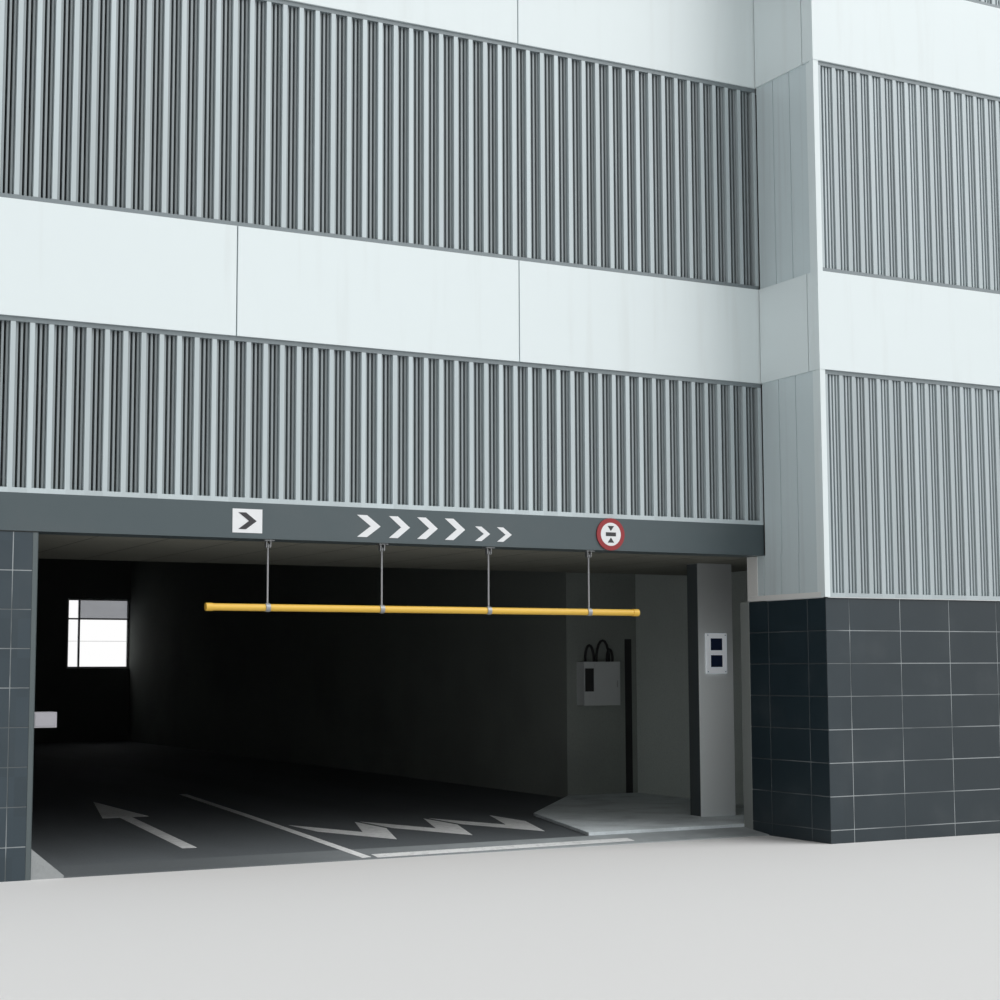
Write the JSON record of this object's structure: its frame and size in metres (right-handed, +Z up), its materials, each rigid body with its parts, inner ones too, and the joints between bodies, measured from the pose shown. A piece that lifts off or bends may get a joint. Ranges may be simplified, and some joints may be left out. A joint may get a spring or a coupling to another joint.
{
  "type": "multi storey car park",
  "caption": "Three-deck car park with white bands, silver fin screens, dark tiled base, a projecting wing and an entrance with a hanging headroom bar.",
  "frame": {"origin": "centre of the footprint's bounding box on the ground", "axes": "+X along the street front to the right, +Y into the building, +Z up"},
  "size_m": [24.3, 25.23, 11.34],
  "materials": {
    "concrete": "cast concrete, trowelled",
    "dark_tile": "dark blue-grey tiles in stack bond with pale joints",
    "grey_cladding": "light grey coated planks",
    "inner_render": "brown-grey render",
    "white_panel": "white coated spandrel panels",
    "fin_aluminium": "silver-grey coated aluminium blades",
    "dark_fascia": "dark grey-blue coated sheet",
    "soffit_panel": "brown-grey ceiling boards",
    "kerb_concrete": "light concrete footway",
    "light_paint": "light grey paint",
    "sign_white": "white sign sheet",
    "sign_red": "red and white sign sheet",
    "bracket_steel": "galvanised steel",
    "yellow_paint": "yellow coated steel tube"
  },
  "bodies": {
    "building": {"ground_slab": "concrete", "deck_1": "concrete", "deck_2": "concrete", "roof_deck": "concrete", "columns": "concrete", "gate_column": "light_paint", "left_front_wall": "dark_tile", "left_side_wall": "dark_tile", "left_fascia": "dark_fascia", "right_side_wall": "dark_tile", "rear_wall": "dark_tile", "rear_cladding": "grey_cladding", "wing_front_wall": "dark_tile", "wing_return_wall": "dark_tile", "return_cladding": "grey_cladding", "recess_side_wall": "inner_render", "recess_end_wall": "inner_render", "lane_wall": "inner_render", "entrance_lintel": "dark_fascia", "entrance_soffit": "soffit_panel", "footway": "kerb_concrete", "pier_guard": "kerb_concrete", "white_band_1": "white_panel", "white_band_2": "white_panel", "roof_band": "white_panel", "roof_coping": "white_panel", "corner_posts": "white_panel", "front_fins_0": "fin_aluminium", "front_fins_1": "fin_aluminium", "front_fins_2": "fin_aluminium", "wing_fins_0": "fin_aluminium", "wing_fins_1": "fin_aluminium", "wing_fins_2": "fin_aluminium", "right_fins_0": "fin_aluminium", "right_fins_1": "fin_aluminium", "right_fins_2": "fin_aluminium", "left_fins_0": "fin_aluminium", "left_fins_1": "fin_aluminium", "left_fins_2": "fin_aluminium", "rear_fins_1": "fin_aluminium", "rear_fins_2": "fin_aluminium", "column_plate": "sign_white", "wall_box": "light_paint", "jamb_box": "light_paint", "height_disc": "sign_red", "bar_brackets": "bracket_steel"},
    "hanging_bar": {"bar_hangers": "bracket_steel", "headroom_bar": "yellow_paint"}
  },
  "joints": [
    {"name": "bar_swing", "type": "hinge", "parent": "building", "child": "hanging_bar", "pos_m": [0.575, -11.535, 2.655], "axis": [1, 0, 0], "range_deg": [-70, 70]}
  ]
}
